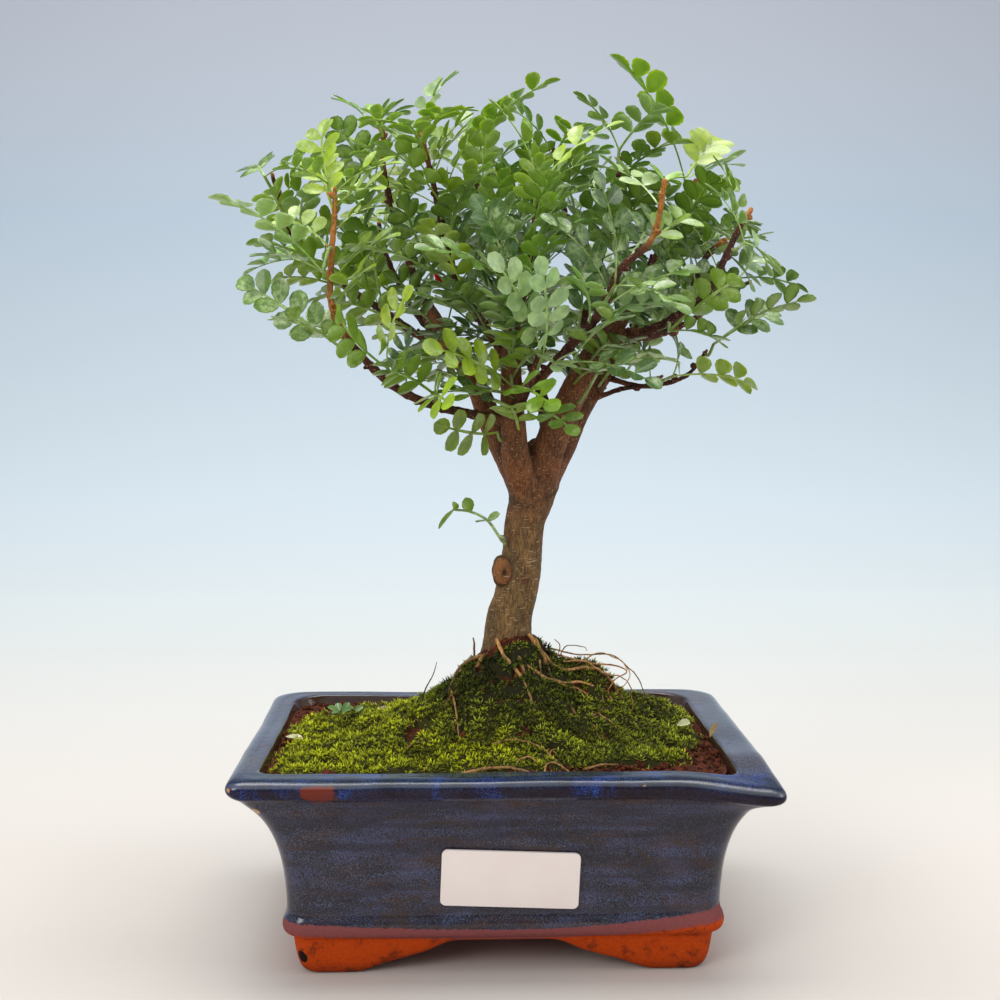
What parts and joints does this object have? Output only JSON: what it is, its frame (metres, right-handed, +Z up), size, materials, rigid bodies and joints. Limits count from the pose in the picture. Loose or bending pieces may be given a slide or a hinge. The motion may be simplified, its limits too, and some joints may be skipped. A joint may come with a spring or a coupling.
{
  "type": "potted bonsai tree",
  "caption": "Small Japanese pepper bonsai with pinnate leaves and a forked trunk, planted in mossy soil in a dark blue rectangular glazed pot on four feet.",
  "frame": {"origin": "middle of the whole plant and pot's bounding box, on the ground under the pot's feet", "axes": "+Z up, -Y towards the front of the tree with the label, +X to the right seen from the front"},
  "size_m": [0.1784, 0.1274, 0.2632],
  "materials": {
    "glazed_pot": "gloss",
    "net": "matte",
    "soil": "matte",
    "moss": "matte",
    "mound_moss": "matte",
    "label": "satin",
    "bark": "matte",
    "leaf": "satin",
    "young_leaf": "satin"
  },
  "bodies": {
    "root": {"pot": "glazed_pot", "drain_net_left": "net", "drain_net_right": "net", "soil": "soil", "moss_carpet": "moss", "moss_on_mound": "mound_moss", "label": "label", "trunk_and_branches": "bark", "leaf_spray_01": "young_leaf", "leaf_spray_02": "leaf", "leaf_spray_03": "leaf", "leaf_spray_04": "leaf", "leaf_spray_05": "young_leaf", "leaf_spray_06": "leaf", "leaf_spray_07": "leaf", "leaf_spray_08": "leaf", "leaf_spray_09": "young_leaf", "leaf_spray_10": "leaf", "leaf_spray_11": "leaf", "leaf_spray_12": "leaf", "leaf_spray_13": "young_leaf", "leaf_spray_14": "leaf", "leaf_spray_15": "leaf", "leaf_spray_16": "leaf", "leaf_spray_17": "young_leaf", "leaf_spray_18": "leaf", "leaf_spray_19": "leaf", "leaf_spray_20": "leaf", "leaf_spray_21": "young_leaf", "leaf_spray_22": "leaf", "leaf_spray_23": "leaf", "leaf_spray_24": "leaf", "leaf_spray_25": "young_leaf", "leaf_spray_26": "leaf", "leaf_spray_27": "leaf", "leaf_spray_28": "leaf", "leaf_spray_29": "young_leaf", "leaf_spray_30": "leaf", "leaf_spray_31": "leaf", "leaf_spray_32": "leaf", "leaf_spray_33": "young_leaf", "leaf_spray_34": "leaf", "leaf_spray_35": "leaf", "leaf_spray_36": "leaf", "leaf_spray_37": "young_leaf", "leaf_spray_38": "leaf", "leaf_spray_39": "leaf", "leaf_spray_40": "leaf", "leaf_spray_41": "young_leaf", "leaf_spray_42": "leaf", "leaf_spray_43": "leaf", "leaf_spray_44": "leaf", "leaf_spray_45": "young_leaf", "leaf_spray_46": "leaf", "leaf_spray_47": "leaf", "leaf_spray_48": "leaf", "leaf_spray_49": "young_leaf"}
  },
  "joints": []
}
